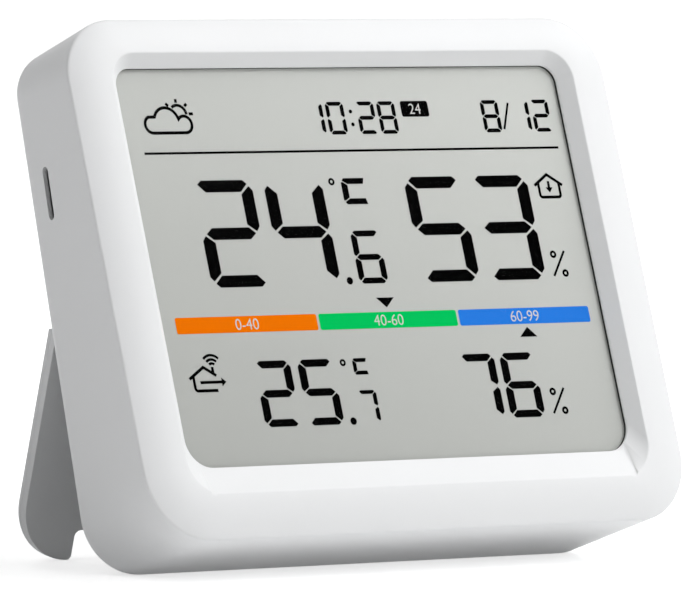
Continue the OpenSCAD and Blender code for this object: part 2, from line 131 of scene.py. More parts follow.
def size(label, words, millimetres):
    """A length property with its default given in millimetres."""
    return FloatProperty(name=label, description=words, default=millimetres * MM,
                         subtype="DISTANCE", unit="LENGTH", precision=5)


def tint(label, words, code):
    """A colour property with its default given as an sRGB hex value."""
    return FloatVectorProperty(name=label, description=words, default=linear(code)[:3],
                               subtype="COLOR", min=0.0, max=1.0)


def linear(code):
    """sRGB hex to linear light: the standard curve on each channel."""
    channel = np.array([int(code[i:i + 2], 16) for i in (1, 3, 5)]) / 255
    light = np.where(channel <= 0.04045, channel / 12.92, ((channel + 0.055) / 1.055) ** 2.4)
    return (*light.tolist(), 1.0)


class SensorSizes(bpy.types.PropertyGroup):
    """Sizes of the moulded pieces that the solids don't carry."""

    crease: size("Crease rounding", "Softening of the edge between front and walls", 0.35)
    bevel_edge: size("Bevel rounding", "Softening of the edges of the window's bevel", 0.18)
    seam: size("Seam rounding", "Softening of the edges along parting lines", 0.15)
    foot_edge: size("Stand rounding", "Rounding of the stand's rear edge", 0.8)
    art: size("Segment height", "Thickness of the display's segments", 0.02)
    cross: size("Screw recess", "Width of a screw's cross recess", 1.7)


class SensorColours(bpy.types.PropertyGroup):
    """Colours of the visible finishes."""

    shell: tint("Housing", "White of the moulded housing", "#EDEEEF")
    # Painted shade: the stand's white is darker than the housing's, for the shade the open stand stands in
    # behind the housing
    stand: tint("Stand", "White of the moulded stand", "#DCDDDE")
    display: tint("Display", "Grey of the unlit display", "#CACCC8")
    ink: tint("Segments", "Black of the driven segments", "#020202")
    dry: tint("Low range", "Bar section for dry air", "#FF7B00")
    mild: tint("Middle range", "Bar section for comfortable air", "#01CF63")
    damp: tint("High range", "Bar section for damp air", "#2C82EB")
    floor: tint("Floor", "Pale floor", "#FAFAFA")


def sizes():
    """The sizes, in millimetres by name."""
    group = bpy.context.scene.sensor_sizes
    return {name: getattr(group, name) / MM for name in SensorSizes.__annotations__}


def colours():
    """The colours as linear RGBA by name."""
    group = bpy.context.scene.sensor_colours
    return {name: (*getattr(group, name), 1.0) for name in SensorColours.__annotations__}


# Meshes

def make(name, points, faces, place, smooth=True):
    """Mesh object from points in millimetres and arrays of face corners; turned outwards by its volume."""
    spots = place.at(points)
    loops = np.concatenate([group.ravel() for group in faces]).astype(np.int32)
    counts = np.concatenate([np.full(len(group), group.shape[1]) for group in faces])
    starts = np.concatenate(((0,), np.cumsum(counts)[:-1])).astype(np.int32)
    mesh = bpy.data.meshes.new(name)
    mesh.vertices.add(len(spots))
    mesh.vertices.foreach_set("co", spots.astype(np.float32).ravel())
    mesh.loops.add(len(loops))
    mesh.loops.foreach_set("vertex_index", loops)
    mesh.polygons.add(len(counts))
    mesh.polygons.foreach_set("loop_start", starts)
    mesh.update(calc_edges=True)
    mesh.validate()
    if volume(mesh) < 0:
        mesh.flip_normals()
    if smooth:
        mesh.shade_smooth()
        mesh.set_sharp_from_angle(angle=SHARP)
    else:
        mesh.shade_flat()
    piece = bpy.data.objects.new(name, mesh)
    bpy.context.scene.collection.objects.link(piece)
    return piece


def volume(mesh):
    """Signed volume: a sixth of the sum of the triple products of the mesh's triangles."""
    mesh.calc_loop_triangles()
    spots = np.empty(3 * len(mesh.vertices), np.float32)
    mesh.vertices.foreach_get("co", spots)
    corner = np.empty(3 * len(mesh.loop_triangles), np.int32)
    mesh.loop_triangles.foreach_get("vertices", corner)
    a, b, c = np.moveaxis(spots.reshape(-1, 3).astype(float)[corner.reshape(-1, 3)], 1, 0)
    return float((a * np.cross(b, c)).sum() / 6)


def grid_faces(rows, columns, wrap_rows):
    """Quads between neighbouring rows of a grid whose columns close on themselves."""
    down = np.arange(rows if wrap_rows else rows - 1)[:, None]
    along = np.arange(columns)[None, :]
    below = (down + 1) % rows
    beside = (along + 1) % columns
    here, there = down * columns, below * columns
    quad = (here + along, here + beside, there + beside, there + along)
    return np.stack(np.broadcast_arrays(*quad), -1).reshape(-1, 4)


def end_faces(rows, columns):
    """Flat faces over the first and the last row of a grid."""
    along = np.arange(columns)
    return np.stack((along[::-1], (rows - 1) * columns + along))


def prism_faces(count):
    """Faces of two like outlines, one behind the other: a rim of quads and both ends."""
    along = np.arange(count)
    beside = (along + 1) % count
    rim = np.stack((along, beside, count + beside, count + along), 1)
    return [rim, along[None, ::-1], count + along[None, :]]


def oblong(half, low, high, radius, middle=0.0, low_radius=None):
    """Rounded rectangle in x and z: four quarter arcs joined by evenly divided straight sides.

    The two lower corners may have a radius of their own.
    """
    turn = np.linspace(0, math.pi / 2, CORNER_STEPS + 1)
    quarter_turn = np.stack((np.cos(turn), np.sin(turn)), 1)
    spin = np.array(((0.0, 1.0), (-1.0, 0.0)))
    foot = radius if low_radius is None else low_radius
    radii = (radius, radius, foot, foot)
    centres = np.array(((half - radius, high - radius), (-half + radius, high - radius),
                        (-half + foot, low + foot), (half - foot, low + foot)))
    quarters = [radii[k] * quarter_turn @ np.linalg.matrix_power(spin, k) + centres[k] for k in range(4)]
    share = np.linspace(0, 1, SIDE_STEPS + 1)[1:-1, None]
    parts = []
    for k, quarter in enumerate(quarters):
        start, end = quarter[-1], quarters[(k + 1) % 4][0]
        parts += [quarter, start + (end - start) * share]
    return np.concatenate(parts) + (middle, 0.0)


def at_depth(outline, depth):
    """Outline in x and z set at a depth, one for all its points or one for each."""
    return np.stack((outline[:, 0], np.broadcast_to(depth, len(outline)), outline[:, 1]), 1)


def soften(rings, rounds, closed):
    """Rounds each ring that is an edge: a parabola from a point before it to a point behind it.

    Both points lie at the edge's own rounding from it, towards its neighbours, at most half way there.
    """
    out = []
    count = len(rings)
    share = np.linspace(0, 1, ROUND_STEPS + 1)[:, None, None]
    for k, (ring, radius) in enumerate(zip(rings, rounds)):
        inner = closed or 0 < k < count - 1
        if not radius or not inner:
            out.append(ring)
            continue
        ends = []
        for other in (rings[k - 1], rings[(k + 1) % count]):
            way = other - ring
            reach = np.linalg.norm(way, axis=1, keepdims=True)
            ends.append(ring + way / reach * np.minimum(radius, reach / 2))
        curve = (1 - share) ** 2 * ends[0] + 2 * share * (1 - share) * ring + share ** 2 * ends[1]
        out.extend(curve)
    return np.stack(out)


def skin(name, rings, rounds, place, closed=False):
    """Surface over softened rings: a closed band, or a body whose first and last ring are flat ends."""
    grid = soften(rings, rounds, closed)
    rows, columns = grid.shape[:2]
    faces = [grid_faces(rows, columns, closed)]
    if not closed:
        faces.append(end_faces(rows, columns))
    return make(name, grid.reshape(-1, 3), faces, place)


def revolve(name, profile, centre, place, steps=48):
    """Profile of radius and depth turned about the depth axis through a centre in x and z."""
    turn = np.linspace(0, 2 * math.pi, steps, endpoint=False)
    radius, depth = np.array(profile, float).T
    x = centre[0] + radius[:, None] * np.cos(turn)
    z = centre[1] + radius[:, None] * np.sin(turn)
    grid = np.stack((x, np.broadcast_to(depth[:, None], x.shape), z), -1)
    faces = [grid_faces(len(radius), steps, False), end_faces(len(radius), steps)]
    return make(name, grid.reshape(-1, 3), faces, place)


def bar(name, section, start, end, place):
    """Closed section of depth and height carried along x between two ends.

    An end is one place for the whole section, or one for each of its corners.
    """
    points = np.concatenate([np.insert(section, 0, x, axis=1) for x in (start, end)])
    return make(name, points, prism_faces(len(section)), place)


def block(name, low, high, place):
    """Box between two corners."""
    corner = np.array([(x, y, z) for x in (0, 1) for y in (0, 1) for z in (0, 1)], float)
    faces = np.array(((0, 1, 3, 2), (4, 6, 7, 5), (0, 4, 5, 1), (2, 3, 7, 6), (0, 2, 6, 4), (1, 5, 7, 3)))
    points = np.array(low) + corner * (np.array(high, float) - low)
    return make(name, points, [faces], place, smooth=False)


def carve(piece, tool, operation="DIFFERENCE", sharp=SHARP):
    """Applies a Boolean with a tool that is then removed, and sets the sharp edges anew by their angle."""
    change = piece.modifiers.new("carve", "BOOLEAN")
    change.operation = operation
    change.solver = "EXACT"
    change.object = tool
    graph = bpy.context.evaluated_depsgraph_get()
    mesh = bpy.data.meshes.new_from_object(piece.evaluated_get(graph))
    piece.modifiers.clear()
    old = piece.data
    piece.data = mesh
    mesh.name = old.name
    bpy.data.meshes.remove(old)
    bpy.data.meshes.remove(tool.data)
    mesh.shade_smooth()
    mesh.set_sharp_from_angle(angle=sharp)


def settle(piece, material, body, slot, *nodes):
    """Gives a piece its finish and body, hides the CAD nodes it stands for and evens its normals; the slot is
    not used.
    """
    piece.data.materials.clear()
    piece.data.materials.append(material)
    even = piece.modifiers.new("even_normals", "WEIGHTED_NORMAL")
    even.keep_sharp = True
    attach(piece, body)
    if nodes:
        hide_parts(*nodes)


# Materials

def add(tree, kind, links=(), **settings):
    """Adds a node, sets its attributes or input values, and links its inputs."""
    node = tree.nodes.new(kind)
    for name, value in settings.items():
        if hasattr(node, name):
            setattr(node, name, value)
        else:
            put_in(node, **{name: value})
    for name, source in links:
        tree.links.new(source, node.inputs[name])
    return node


def put_in(node, **values):
    """Sets a node's input values by name, with an underscore for each blank."""
    for name, value in values.items():
        node.inputs[name.replace("_", " ")].default_value = value


def finish(name):
    """New material with its tree, its Principled shader and its Object coordinates."""
    material = bpy.data.materials.new(name)
    material.use_nodes = True
    tree = material.node_tree
    shader = tree.nodes["Principled BSDF"]
    where = add(tree, "ShaderNodeTexCoord").outputs["Object"]
    return material, tree, shader, where


def roughen(tree, shader, where, grain, strength, depth):
    """Bump from a noise with grains of a given width and depth in millimetres."""
    noise = add(tree, "ShaderNodeTexNoise", [("Vector", where)], Scale=1 / (grain * MM), Detail=2.0)
    bump = add(tree, "ShaderNodeBump", [("Height", noise.outputs["Fac"])],
               Strength=strength, Distance=depth * MM)
    tree.links.new(bump.outputs["Normal"], shader.inputs["Normal"])


MOULD_GRAIN = {"grain": 0.3, "strength": 0.06, "depth": 0.02}
SHEEN_CLOUD = 14.0
SHEEN_SPREAD = 0.03


def moulded_plastic(name, colour, roughness):
    """ABS from a spark-eroded mould: an even white with a fine satin grain that breaks up highlights.

    The real grain is about 0.03 mm; it is drawn ten times as coarse so that it shows. The sheen drifts
    a little over a wider cloud.
    """
    material, tree, shader, where = finish(name)
    roughen(tree, shader, where, **MOULD_GRAIN)
    cloud = add(tree, "ShaderNodeTexNoise", [("Vector", where)], Scale=1 / (SHEEN_CLOUD * MM), Detail=1.0)
    sheen = add(tree, "ShaderNodeMapRange", [("Value", cloud.outputs["Fac"])],
                To_Min=roughness - SHEEN_SPREAD, To_Max=roughness + SHEEN_SPREAD)
    tree.links.new(sheen.outputs["Result"], shader.inputs["Roughness"])
    put_in(shader, Base_Color=colour, IOR=1.5)
    return material


# Painted light: the display's tone rises to the right and upwards, a share for each metre, for the lamps on
# the upper right
PAINTED_LIGHT_SLOPE = (1.6, 3.9)
FIBRE = 0.35


def display_glass(colour):
    """Polarised glass over a matt reflector: a grey-green sheet with a faint fibre from the film.

    Its tone rises evenly towards the upper right: painted light, lighter where the lamps on the upper right
    fall more strongly on it.
    """
    material, tree, shader, where = finish("polarised_lcd_glass")
    fibre = add(tree, "ShaderNodeTexNoise", [("Vector", where)], Scale=1 / (FIBRE * MM), Detail=3.0)
    shade = add(tree, "ShaderNodeValToRGB", [("Fac", fibre.outputs["Fac"])])
    for stop, level in zip(shade.color_ramp.elements, (0.985, 1.015)):
        stop.color = (*(min(1.0, level * channel) for channel in colour[:3]), 1.0)
    # Painted light: a gradient across the glass in the object's frame, brighter towards the upper right
    slope = PAINTED_LIGHT_SLOPE[0] * BODY.axes[0] + PAINTED_LIGHT_SLOPE[1] * BODY.up
    along = add(tree, "ShaderNodeVectorMath", [(0, where)], operation="DOT_PRODUCT")
    along.inputs[1].default_value = slope
    lift = add(tree, "ShaderNodeMath", [(0, along.outputs["Value"])], operation="ADD")
    lift.inputs[1].default_value = 1 - slope @ BODY.origin
    painted_light_colour = add(tree, "ShaderNodeVectorMath", [(0, shade.outputs["Color"]), ("Scale", lift.outputs[0])],
                operation="SCALE")
    tree.links.new(painted_light_colour.outputs["Vector"], shader.inputs["Base Color"])
    put_in(shader, Roughness=0.55, Specular_IOR_Level=0.1)
    return material


def clear_acrylic():
    """Cast acrylic sheet: clear, with only a faint glossy reflection."""
    material, _, shader, _ = finish("clear_acrylic")
    put_in(shader, Base_Color=linear("#1C1E1E"), Roughness=0.12, IOR=1.49, Alpha=0.015)
    return material


FILM_GRAIN = {"grain": 0.25, "strength": 0.1, "depth": 0.004}


def plain(name, colour, roughness, metallic=0.0, gloss=0.5):
    """One colour with a fine unevenness: printed film, moulded rubber, plating or sheet metal."""
    material, tree, shader, where = finish(name)
    roughen(tree, shader, where, **FILM_GRAIN)
    put_in(shader, Base_Color=colour, Roughness=roughness, Metallic=metallic, Specular_IOR_Level=gloss)
    return material


# Display art: flat shapes in x and z, given a small thickness in front of the glass

def disc(x, z, diameter, steps=28):
    """Circle of points."""
    turn = np.linspace(0, 2 * math.pi, steps, endpoint=False)
    return np.stack((x + diameter / 2 * np.cos(turn), z + diameter / 2 * np.sin(turn)), 1)


def arc(x, z, radius, start, end, steps=24):
    """Points on an arc between two angles in degrees."""
    turn = np.radians(np.linspace(start, end, steps))
    return np.stack((x + radius * np.cos(turn), z + radius * np.sin(turn)), 1)


def stroke(path, width, closed=False):
    """Line of a given width: the path moved to both sides along the mean normal of its legs."""
    path = np.asarray(path, float)
    if closed:
        ahead, behind = np.roll(path, -1, 0) - path, path - np.roll(path, 1, 0)
    else:
        legs = np.diff(path, axis=0)
        ahead = np.concatenate((legs, legs[-1:]))
        behind = np.concatenate((legs[:1], legs))
    ahead /= np.linalg.norm(ahead, axis=1, keepdims=True)
    behind /= np.linalg.norm(behind, axis=1, keepdims=True)
    mean = ahead + behind
    mean /= np.linalg.norm(mean, axis=1, keepdims=True)
    stretch = 1 / np.maximum((mean * ahead).sum(1, keepdims=True), 0.5)
    normal = np.stack((-mean[:, 1], mean[:, 0]), 1) * stretch * width / 2
    return path + normal, path - normal, closed


def prism(outline, near, far):
    """Filled outline between two depths: points, and faces for both sides and the rim."""
    points = np.concatenate((at_depth(outline, near), at_depth(outline, far)))
    return points, prism_faces(len(outline))


def ribbon(sides, near, far):
    """Stroked line between two depths: its four long edges make a rectangular tube."""
    left, right, closed = sides
    corners = ((left, near), (left, far), (right, far), (right, near))
    edges = np.stack([at_depth(line, depth) for line, depth in corners], 1)
    faces = [grid_faces(len(left), 4, closed)]
    if not closed:
        faces.append(end_faces(len(left), 4))
    return edges.reshape(-1, 3), faces


def display_place():
    """The housing's axes from the middle of the artwork."""
    return Place(BODY.at((ART_MIDDLE[0], 0, ART_MIDDLE[1])), BODY.back)


def set_on_glass(piece, ink):
    """Gives a piece of the display its ink and body."""
    piece.data.materials.append(ink)
    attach(piece, "housing")


def print_art(name, shapes, ink, depth):
    """One piece from many flat shapes, each a filled outline or a stroked line."""
    points, faces, start = [], [], 0
    for shape in shapes:
        solid = ribbon if isinstance(shape, tuple) else prism
        spots, corners = solid(shape, *depth)
        points.append(spots)
        faces += [group + start for group in corners]
        start += len(spots)
    piece = make(name, np.concatenate(points), faces, display_place(), smooth=False)
    set_on_glass(piece, ink)


DIGIT = {"0": "abcdef", "1": "bc", "2": "abged", "3": "abgcd", "4": "fgbc", "5": "afgcd",
         "6": "afgedc", "7": "abc", "8": "abcdefg"}


def turn_over(outline, axis):
    """Outline mirrored in a level line."""
    return np.stack((outline[:, 0], 2 * axis - outline[:, 1]), 1)[::-1]


def digit(figure, x, z, width, height, across, upright):
    """Seven-segment figure with its lower left corner at x, z.

    Every segment is a bar with pointed ends; the ends lie a third of the bar in from its outer edge,
    the middle bar's on its own middle. The gap between neighbours is a fortieth of the width.
    """
    gap = 0.025 * width
    half = height / 2
    lean_in = across / 3
    tip, cut, point = 0.28 * upright, 0.55 * across, 0.62 * across
    inner = 1.05 * across + gap
    start, end = x + tip + gap, x + width - tip - gap
    level = z + half
    bottom = np.array((
        (start, z + lean_in), (x + tip + cut, z), (x + width - tip - cut, z),
        (end, z + lean_in), (x + width - inner, z + across), (x + inner, z + across)))
    middle = np.array((
        (start, level), (start + point, level - across / 2), (end - point, level - across / 2),
        (end, level), (end - point, level + across / 2), (start + point, level + across / 2)))
    left = np.array((
        (x, level - 0.42 * across - gap), (x, z + 0.75 * across + gap),
        (x + 0.3 * upright, z + 0.38 * across + gap), (x + upright, z + across + 1.4 * gap),
        (x + upright, level - 0.6 * across - gap), (x + tip, level - 1.1 * gap)))
    right = np.stack((2 * x + width - left[:, 0], left[:, 1]), 1)[::-1]
    bars = {"d": bottom, "a": turn_over(bottom, level), "g": middle, "e": left, "c": right,
            "f": turn_over(left, level), "b": turn_over(right, level)}
    return [bars[bar] for bar in DIGIT[figure]]


def figures(row, low, **form):
    """Seven-segment figures of one form on a common foot line, each given with its left side."""
    return [bar for figure, x in row for bar in digit(figure, x, low, **form)]


RING_LINE = 0.3


def degree_c(x, z, width, height, across, upright, ring):
    """Degree ring and a C of three bars, with the C's lower left corner at x, z."""
    gap = 0.04 * width
    head = z + height
    top = np.array((
        (x + 0.2 * upright, head - 0.4 * across), (x + 0.5 * upright, head), (x + width, head),
        (x + width - 0.3 * across, head - across), (x + upright, head - across)))
    low = turn_over(top, z + height / 2)
    left = np.array((
        (x, head - 0.7 * across), (x, z + 0.7 * across), (x + 0.3 * upright, z + 0.45 * across + gap),
        (x + upright, z + across + gap), (x + upright, head - across - gap),
        (x + 0.3 * upright, head - 0.45 * across - gap)))
    circle = stroke(disc(x + ring[0], z + ring[1], ring[2] - RING_LINE), RING_LINE, True)
    return [top, low, left, circle]


def percent(x, z):
    """Two rings and a slash, with the slash's lower end at x, z."""
    rings = [stroke(disc(x + dx, z + dz, 0.75), 0.35, True) for dx, dz in ((0.54, 3.11), (2.08, 0.38))]
    return rings + [stroke(((x, z), (x + 2.55, z + 3.57)), 0.34)]


# Pieces

def frame_rings(window, border, count):
    """Rings over the swelling frame: even steps from the bevel to the front edge.

    The depth is a parabola of the distance from the front edge, level from the span on.
    """
    span = SWELL_SPAN
    width = np.linalg.norm(border - window, axis=1)
    rings = []
    for share in np.linspace(1, 0, count):
        inset = np.minimum(share * width, span)
        depth = -SWELL * (1 - ((span - inset) / span) ** 2)
        rings.append(at_depth(border + (window - border) * share, depth))
    return rings


def into_body(points):
    """Points of the back's frame in the housing's frame."""
    return (REAR.at(points) - BODY.origin) @ BODY.axes.T / MM


HOUSING = {"half": 46.0, "low": -36.25, "high": 36.25, "radius": 8.7, "low_radius": 9.5}
BACK = {"half": 44.0, "low": -35.95, "high": 36.15, "radius": 6.4, "low_radius": 8.0}
WINDOW = {"half": 37.85, "low": -26.15, "high": 29.5, "radius": 2.6, "low_radius": 4.0}
BEVEL = {"half": 39.5, "low": -30.15, "high": 31.15, "radius": 4.2, "low_radius": 5.0}
BEVEL_END = 1.5
END_LEAN = 0.32
SWELL_SPAN = 6.0
FRAME_STEPS = 12
WALL = 1.8
VENT = {"middle": (11.1, 15.35), "long": 7.3, "wide": 1.5, "slant": 4.5}
VENT_CUT = (-48.0, -41.0)

# Box taken out behind the vent, which leaves a thinner wall round the slot
VENT_RELIEF = ((-43.75, 8.7, 10.6), (-41.0, 13.5, 20.1))
PAD = {"half": 40.0, "low": -0.75, "high": 29.95, "radius": 6.0}
PAD_EDGE = 0.8
LIP = (0.55, 0.9)
LIP_ROUNDS = (0.05, 0.12)
ART_DEPTH = 1.25
ART_MIDDLE = (-0.7, -0.22)
REAR_ROUND = 3.0
RIM = 1.3
RIM_DEPTH = -1.6
SEAM_GAP = 0.15
BACK_STEPS = 8
SATIN = 0.5


def drawn_in(shape, inset):
    """The same rounded rectangle drawn in on all sides."""
    upper = max(shape["radius"] - inset, 0.2)
    lower = max(shape.get("low_radius", shape["radius"]) - inset, 0.2)
    return oblong(shape["half"] - inset, shape["low"] + inset, shape["high"] - inset, upper, low_radius=lower)


def widened(shape, by):
    """The same rounded rectangle with its sides moved outwards and its corner radius kept."""
    return {**shape, "half": shape["half"] + by, "low": shape["low"] - by, "high": shape["high"] + by}


def back_turn(start, end, count):
    """Rings on the back's rounding, from one angle to another in degrees, in the back's frame."""
    turns = np.radians(np.linspace(start, end, count))
    inset, depth = REAR_ROUND * (1 - np.cos(turns)), REAR_ROUND * (np.sin(turns) - 1)
    return [at_depth(drawn_in(BACK, way), level) for way, level in zip(inset, depth)]


def rim_angle(inset):
    """Angle on the back's rounding at a given inset from its widest line, in degrees."""
    return math.degrees(math.acos(1 - inset / REAR_ROUND))


class SENSOR_OT_front_shell(bpy.types.Operator):
    """Front shell: closed section of lip, bevel, swelling frame, wall and rim, carried round the housing"""

    bl_idname = "sensor.front_shell"
    bl_label = "Front shell"

    def execute(self, context):
        s, c = sizes(), colours()
        window = oblong(**WINDOW)
        bevel = oblong(**BEVEL)
        border = oblong(**HOUSING)
        frame_part = frame_rings(bevel, border, FRAME_STEPS)
        turned = [into_body(ring) for ring in back_turn(0, rim_angle(RIM), BACK_STEPS)]
        inside = [into_body(at_depth(drawn_in(BACK, RIM), RIM_DEPTH)),
                  at_depth(drawn_in(HOUSING, WALL), LIP[1])]
        rings = [at_depth(window, LIP[1]), at_depth(window, LIP[0]), *frame_part, *turned, *inside]
        rounds = [*LIP_ROUNDS, s["bevel_edge"], *[0] * (FRAME_STEPS - 2), s["crease"],
                  *[0] * (BACK_STEPS - 1), s["seam"], 0, 0]
        shell = skin("front_shell_skin", rings, rounds, BODY, closed=True)
        for tool in (self.lower_bevel(), block("relief_tool", *VENT_RELIEF, BODY), self.vent()):
            carve(shell, tool, sharp=SOFT_MITRE)
        plastic = moulded_plastic("moulded_abs_housing", c["shell"], SATIN)
        settle(shell, plastic, "housing", "shell_white", "front_shell")
        return {"FINISHED"}

    def lower_bevel(self):
        """Flat bevel along the window's lower end: a wedge from the lip to the frame's front.

        It ends short of the corners. Its ends lean outwards by a share of the height above the bevel's
        plane, so they shade as the side bevels do.
        """
        slope = (BEVEL["low"] - WINDOW["low"]) / (LIP[0] + SWELL)
        proud, above = 0.2, 2.0
        inner, outer = WINDOW["low"], BEVEL["low"] + proud * slope - 0.03
        near, far = -SWELL - proud, LIP[0] + 0.02
        section = np.array(((far, inner), (far, inner + above), (near, inner + above), (near, outer)))
        height = np.array((0.0, above, inner + above - outer, 0.0))
        end = WINDOW["half"] - BEVEL_END + END_LEAN * height
        return bar("bevel_tool", section, -end, end, BODY)

    def vent(self):
        """Slot through the left wall: a long oval carried sideways."""
        slant = math.radians(VENT["slant"])
        half_w = VENT["wide"] / 2
        straight = VENT["long"] / 2 - half_w
        oval = np.concatenate((arc(0, straight, half_w, 0, 180), arc(0, -straight, half_w, 180, 360)))
        turned = oval @ np.array(((math.cos(slant), math.sin(slant)), (-math.sin(slant), math.cos(slant))))
        return bar("vent_tool", turned + VENT["middle"], *VENT_CUT, BODY)


TUB = {"half": 24.0, "low": 4.5, "high": 26.3, "radius": 0.3, "middle": 4.5}
DOOR = {"half": 25.8, "low": 2.7, "high": 28.1, "radius": 2.0, "middle": 4.5}
DOOR_T = 1.3
DOOR_GAP = 0.15
SEAT = PAD_RISE - DOOR_T - 0.05
TUB_FLOOR = -9.8
TUB_WALL = 1.2
COVER_FRONT = -2.0
PAD_FOOT = 0.25
BUTTON = (-33.5, 9.0, 2.6)
BUTTON_PLAY = 0.06
BUTTON_BORE = (14.0, 24.0)
SCREWS = [(x, z) for z in (-32.6, 32.6) for x in (-34.0, 34.0)]
SCREW_SINK = 1.25
SCREW_BORE = 1.65
LUG_X = 28.0
LUG_L = 8.0
LUG_R = 1.05
HINGE = (1.3, -HINGE_DROP)


class SENSOR_OT_rear_cover(bpy.types.Operator):
    """Rear cover: rings from the parting line over back, raised pad and door seat into the tub"""

    bl_idname = "sensor.rear_cover"
    bl_label = "Rear cover"

    def execute(self, context):
        s, c = sizes(), colours()
        edge = RIM + SEAM_GAP
        turned = back_turn(rim_angle(edge), 90, BACK_STEPS)
        pad, tub, seat = oblong(**PAD), oblong(**TUB), oblong(**widened(DOOR, DOOR_GAP))
        pad_top = oblong(PAD["half"] - PAD_EDGE, PAD["low"] + PAD_FOOT, PAD["high"] - PAD_EDGE,
                         PAD["radius"] - PAD_EDGE)
        steps = ((pad, 0.0), (pad, PAD_RISE - PAD_EDGE), (pad_top, PAD_RISE), (seat, PAD_RISE), (seat, SEAT),
                 (tub, SEAT), (tub, TUB_FLOOR))
        rings = [at_depth(drawn_in(BACK, edge), COVER_FRONT), *turned, *[at_depth(*step) for step in steps]]
        rounds = [0, s["seam"], *[0] * (BACK_STEPS - 1), 0.3, 0.5, 0.5, s["seam"], 0.05, 0.2, 0]
        cover = self.closed_body(rings, rounds)
        for x, z in SCREWS:
            depth = into_back((x, 0, z))
            sides = ((SCREW_BORE, depth - SCREW_SINK), (SCREW_BORE, depth + 3))
            carve(cover, revolve("screw_tool", sides, (x, z), BODY))
        sides = [(BUTTON[2] + BUTTON_PLAY, depth) for depth in BUTTON_BORE]
        carve(cover, revolve("button_tool", sides, BUTTON[:2], BODY))
        for side in (-1, 1):
            carve(cover, self.lug(side), "UNION")
        plastic = moulded_plastic("moulded_abs_cover", c["shell"], SATIN)
        settle(cover, plastic, "housing", "rear_white", "rear_cover")
        return {"FINISHED"}

    def closed_body(self, rings, rounds):
        """Outer skin of the cover, closed by an inner skin a wall behind it."""
        inner = oblong(**widened(TUB, TUB_WALL))
        back_side = [at_depth(inner, TUB_FLOOR - TUB_WALL), at_depth(inner, COVER_FRONT)]
        return skin("rear_cover_skin", back_side + rings, [0, 0] + rounds, REAR)

    def lug(self, side):
        """Hinge lug: a round end about the pin with a foot on the pad."""
        y, z = HINGE
        turn = np.linspace(-math.pi, 0, 17)
        round_end = np.stack((y - LUG_R * np.cos(turn), z + LUG_R * np.sin(turn)), 1)
        section = np.concatenate((round_end, ((-0.3, z), (-0.3, -0.4), (y + LUG_R, -0.4))))
        middle = side * LUG_X
        return bar("lug_tool", section, middle - LUG_L / 2, middle + LUG_L / 2, REAR)


def into_back(point):
    """Depth in the housing's frame of the back's plane at a point's height."""
    level = into_body(np.zeros((1, 3)))[0]
    normal = REAR.back @ BODY.axes.T
    return level[1] - normal[2] / normal[1] * (point[2] - level[2])


GROOVE = {"half": 0.45, "low": -5.0, "high": 5.0, "radius": 0.4}
GROOVE_STEPS = ((0.15, -0.4), (0.0, 0.01), (0.0, 1.0))
GROOVE_FIRST = 4.55
GROOVE_PITCH = 2.0
GROOVE_COUNT = 5


class SENSOR_OT_battery_door(bpy.types.Operator):
    """Battery door: a thin softened plate with a row of finger grooves"""

    bl_idname = "sensor.battery_door"
    bl_label = "Battery door"

    def execute(self, context):
        plan = oblong(**DOOR)
        inner = oblong(**{**widened(DOOR, -3.0), "radius": 0.5})
        rings = [at_depth(plan, PAD_RISE - DOOR_T), at_depth(plan, PAD_RISE), at_depth(inner, PAD_RISE)]
        door = skin("battery_door_skin", rings, [0, 0.25, 0], REAR)
        right = DOOR["middle"] + DOOR["half"] - GROOVE_FIRST
        middle = (DOOR["low"] + DOOR["high"]) / 2
        for k in range(GROOVE_COUNT):
            place = (right - GROOVE_PITCH * k, middle)
            steps = [at_depth(drawn_in(GROOVE, inset) + place, PAD_RISE + depth)
                     for inset, depth in GROOVE_STEPS]
            carve(door, skin("groove_tool", steps, [0] * len(steps), REAR))
        plastic = moulded_plastic("moulded_abs_door", colours()["shell"], SATIN)
        settle(door, plastic, "door", "door_white", "battery_door")
        return {"FINISHED"}


STAND_HALF = 42.1
STAND_LONG = 31.943
STAND_T = 2.2
STAND_R = 8.5
STAND_BEVEL = (0.12, -0.05)
STAND_LINE = (0.12, 0.14)
FOOT_W = 9.2
FOOT_R = 0.8
NOTCH_H = 4.2
NOTCH_R = 0.8
LUG_GAP = (0.15, 0.35)


def stand_outline(inset, crest):
    """Half outline of the stand mirrored: hinge crest, side, large foot corner, foot, finger gap.

    The large corner and the gap's corners turn about fixed centres whatever the inset. The foot's inner
    corner is a circle that touches the gap's side and, from inside, the large corner's circle.
    """
    side = STAND_HALF - FOOT_W + inset
    centre = np.array((STAND_HALF - STAND_R, -STAND_LONG + STAND_R))
    large = STAND_R - inset
    small = FOOT_R - min(inset, 0.75 * FOOT_R)
    across = side + small - centre[0]
    down = math.sqrt((large - small) ** 2 - across ** 2)
    touch = -math.degrees(math.atan2(down, across))
    right = np.concatenate((
        ((STAND_HALF - inset, crest),),
        arc(*centre, large, 0, touch, 24),
        arc(side + small, centre[1] - down, small, touch, -180, 10)[1:],
        arc(side - inset - NOTCH_R, -STAND_LONG + NOTCH_H - NOTCH_R, NOTCH_R + inset, 0, 90, 12)))
    left = (right * (-1, 1))[::-1]
    return np.concatenate((right, left))


